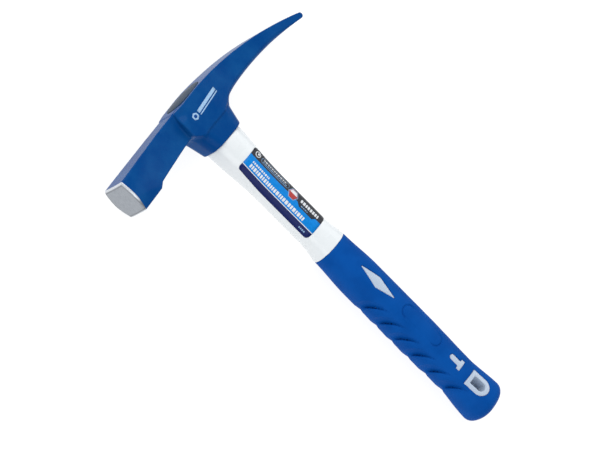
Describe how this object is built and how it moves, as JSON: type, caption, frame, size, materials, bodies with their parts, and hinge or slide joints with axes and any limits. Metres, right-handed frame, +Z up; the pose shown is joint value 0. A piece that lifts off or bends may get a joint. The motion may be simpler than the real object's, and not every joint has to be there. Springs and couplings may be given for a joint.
{
  "type": "brick hammer",
  "caption": "Fibreglass-handled brick hammer: forged head with a square striking face and a drooping chisel blade, moulded jacket and soft rubber grip with a D-shaped hang hole.",
  "frame": {"origin": "centre of the cheek plane it rests on: below the point where the handle's axis crosses the striking axis", "axes": "+X along the handle towards the butt, +Y towards the blade (the striking face looks along -Y), +Z up, square to the cheeks"},
  "size_m": [0.2973, 0.1868, 0.03],
  "materials": {
    "painted_steel": "gloss blue paint over forged steel",
    "bare_steel": "ground striking face",
    "epoxy": "dark cast resin",
    "fibreglass": "sawn end of pultruded glass and resin",
    "white_plastic": "moulded polypropylene, satin gloss",
    "blue_rubber": "fine matt moulded soft rubber",
    "printed_film": "printed label film"
  },
  "bodies": {
    "root": {"head": "painted_steel", "eye_potting": "epoxy", "fibreglass_core": "fibreglass", "handle_jacket": "white_plastic", "grip": "blue_rubber", "label": "printed_film"}
  },
  "joints": []
}
